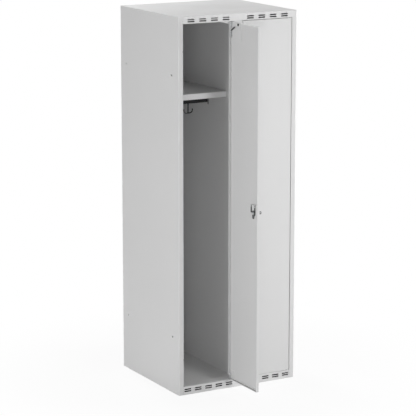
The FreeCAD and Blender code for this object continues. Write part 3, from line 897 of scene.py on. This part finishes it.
def hook_bow(wire, ball, half_spread, rise):
    """Bent wire with a straight foot, turned up at both ends to a ball, standing on the origin."""
    top_slope = 80
    slope_step = 16
    ball_rings = 8
    neck = math.sqrt(ball ** 2 - wire ** 2)
    bend = rise - neck
    half_foot = half_spread - bend
    middle = wire + rise
    slopes = [math.radians(top_slope - slope_step * count) for count in range(ball_rings)]
    rings = [(ball * math.cos(slope), middle + ball * math.sin(slope)) for slope in slopes]
    rings.append((wire, middle - neck))
    bow = start_round(rings[0][0], -half_spread, rings[0][1], sides=16)
    grow(rings, -half_spread)
    quarter = {"steps": 12, "angle": math.radians(90), "axis": BACKWARD}
    bpy.ops.mesh.spin(center=(-half_foot, 0, wire + bend), **quarter)
    bpy.ops.mesh.extrude_region_move(TRANSFORM_OT_translate={"value": (2 * half_foot, 0, 0)})
    bpy.ops.mesh.spin(center=(half_foot, 0, wire + bend), **quarter)
    grow(rings[::-1], half_spread)
    close_outward()
    return bow


def coat_hook(breadth, depth, height):
    """Double hook, hung by its stem from the slider that runs in the rail."""
    wire = 0.0025
    stem = 0.003
    ball = 0.0032
    rise = 0.016
    slider_length = 0.024
    slider_height = 0.008
    slider_foot = height - slider_height
    slider = settled(slab(slider_length, depth, slider_height), UP * slider_foot, Matrix.Identity(3))
    post = turned([
        (stem * 0.6, wire * 0.3), (stem * 0.9, wire * 0.6), (stem, wire),
        (stem, slider_foot + slider_height / 2),
    ], sides=20)
    bow = hook_bow(wire, ball, breadth / 2 - ball, rise)
    return welded(softened(slider, slider_height / 10), post, bow)


def coat_hooks():
    """Two hooks on each rail."""
    low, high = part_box("hook_a_left")
    places = [letter + "_" + side for letter in ("a", "b") for side in SIDES]
    for place, hook in zip(places, copies(coat_hook(*(high - low)), len(places))):
        node = "hook_" + place
        set_on(hook, foot(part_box(node), UP), UP)
        fitted(hook, "coat_hook_" + place, node, "black_steel", node)


for make in (hinge_screws, bracket_screws, cam_screws, back_rivets, door_buffers, pin_springs,
             upper_hinge_pins, lower_hinge_pins, lock_cylinders, lock_nuts, lock_covers, keys, shelf_angles,
             coat_hooks):
    make()


# Camera, fitted to the view of the photograph
CAMERA_PLACE = (-4.254, -7.587, 2.622)
CAMERA_TURN = 29.29
CAMERA_DIP = 11.96
CAMERA_LENS = 167.5
CAMERA_SENSOR = 36
CAMERA_REACH = 60

bpy.ops.object.camera_add(location=CAMERA_PLACE)
camera = bpy.context.object
camera.rotation_euler = (math.radians(90 - CAMERA_DIP), 0, math.radians(-CAMERA_TURN))
camera.data.lens = CAMERA_LENS
camera.data.sensor_width = CAMERA_SENSOR
camera.data.clip_end = CAMERA_REACH
bpy.context.scene.camera = camera

# Floor: pale grey to the light, white to the eye and to mirrors, but for the shade near the cabinet, and
# painted shade, near black, under it
FLOOR_SIZE = 40
WHITE = (1, 1, 1, 1)
FLOOR_PALE = (0.8, 0.8, 0.8, 1)
# Painted shade: the floor's grey under the cabinet
FLOOR_UNDER_PAINTED_SHADE = (0.01, 0.01, 0.01, 1)
FLOOR_SHADE = 0.08
SHADE_NEAR = 0.5
SHADE_FAR = 1.3
UNDER_INSET = 0.003
UNDER_FADE = 0.002
ROOM_LIGHT = 0.1


def seen_ray(finish):
    """1 on rays from the camera, from mirrors and through glass, 0 on the rays that light things."""
    kinds = ("Is Camera Ray", "Is Glossy Ray", "Is Transmission Ray")
    first, second, third = [finish.node("LightPath", output=kind) for kind in kinds]
    return first + second + third


def floor_finish():
    """White floor to the eye, and painted shade, near black, under the cabinet."""
    ground = new_finish("floor")
    place = ground.place()
    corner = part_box("top_panel")[1]

    def past(letter, edge):
        start = edge - UNDER_INSET
        return abs(ground.axis(place, letter)).between(start, start + UNDER_FADE)

    sides = {0: past("X", corner.x), 1: past("Y", corner.y)}
    outside = ground.node("Math", {"operation": "MAXIMUM"}, sides)
    pale = ground.node("BsdfDiffuse", {}, {"Color": ground.blend(outside, FLOOR_UNDER_PAINTED_SHADE, FLOOR_PALE)})
    white = ground.node("Emission", {}, {"Color": WHITE, "Strength": 1.0})
    distance = ground.node("VectorMath", {"operation": "LENGTH"}, {0: place}, output="Value")
    whiteness = 1 - FLOOR_SHADE * (1 - distance.between(SHADE_NEAR, SHADE_FAR))
    shown = ground.node("MixShader", {}, {0: seen_ray(ground) * outside * whiteness, 1: pale, 2: white})
    ground.node("OutputMaterial", {}, {"Surface": shown})
    return ground.holder


bpy.ops.object.select_all(action="DESELECT")
bpy.ops.mesh.primitive_plane_add(size=FLOOR_SIZE, location=(0, 0, 0))
floor = bpy.context.object
floor.name = "floor"
floor.data.materials.append(floor_finish())

room = Finish(bpy.data.worlds.new("room"))
strength = seen_ray(room) * (1 - ROOM_LIGHT) + ROOM_LIGHT
sky = room.node("Background", {}, {"Color": WHITE, "Strength": strength})
room.node("OutputWorld", {}, {"Surface": sky})
bpy.context.scene.world = room.holder


# Each lamp's name, turn and rise in degrees, distance, breadth and power
LAMPS = [
    ("key", 8, 20, 5.0, 0.8, 53),
    ("right", 65, 10, 3.5, 1.2, 68),
    ("front", -30, 2, 6.0, 2.0, 50),
    ("left", -75, 5, 4.5, 1.5, 74),
    ("above", 0, 85, 3.0, 2.0, 16),
    ("behind", 180, 38, 3.2, 0.5, 55),
]
LAMP_AIM = Vector((0, 0, 0.85))


def lamp(name, turn, rise, away, size, power):
    """Round soft lamp on a sphere round the cabinet: turn from the front to the right, rise from level."""
    turn = math.radians(turn)
    rise = math.radians(rise)
    level = RIGHT * math.sin(turn) + FORWARD * math.cos(turn)
    place = LAMP_AIM + away * (level * math.cos(rise) + UP * math.sin(rise))
    bpy.ops.object.light_add(type="AREA", location=place)
    made = bpy.context.object
    made.name = name
    made.data.shape = "DISK"
    made.data.size = size
    made.data.energy = power
    made.rotation_euler = (LAMP_AIM - place).to_track_quat("-Z", "Y").to_euler()


for setting in LAMPS:
    lamp(*setting)

bpy.context.scene.view_settings.view_transform = "Standard"
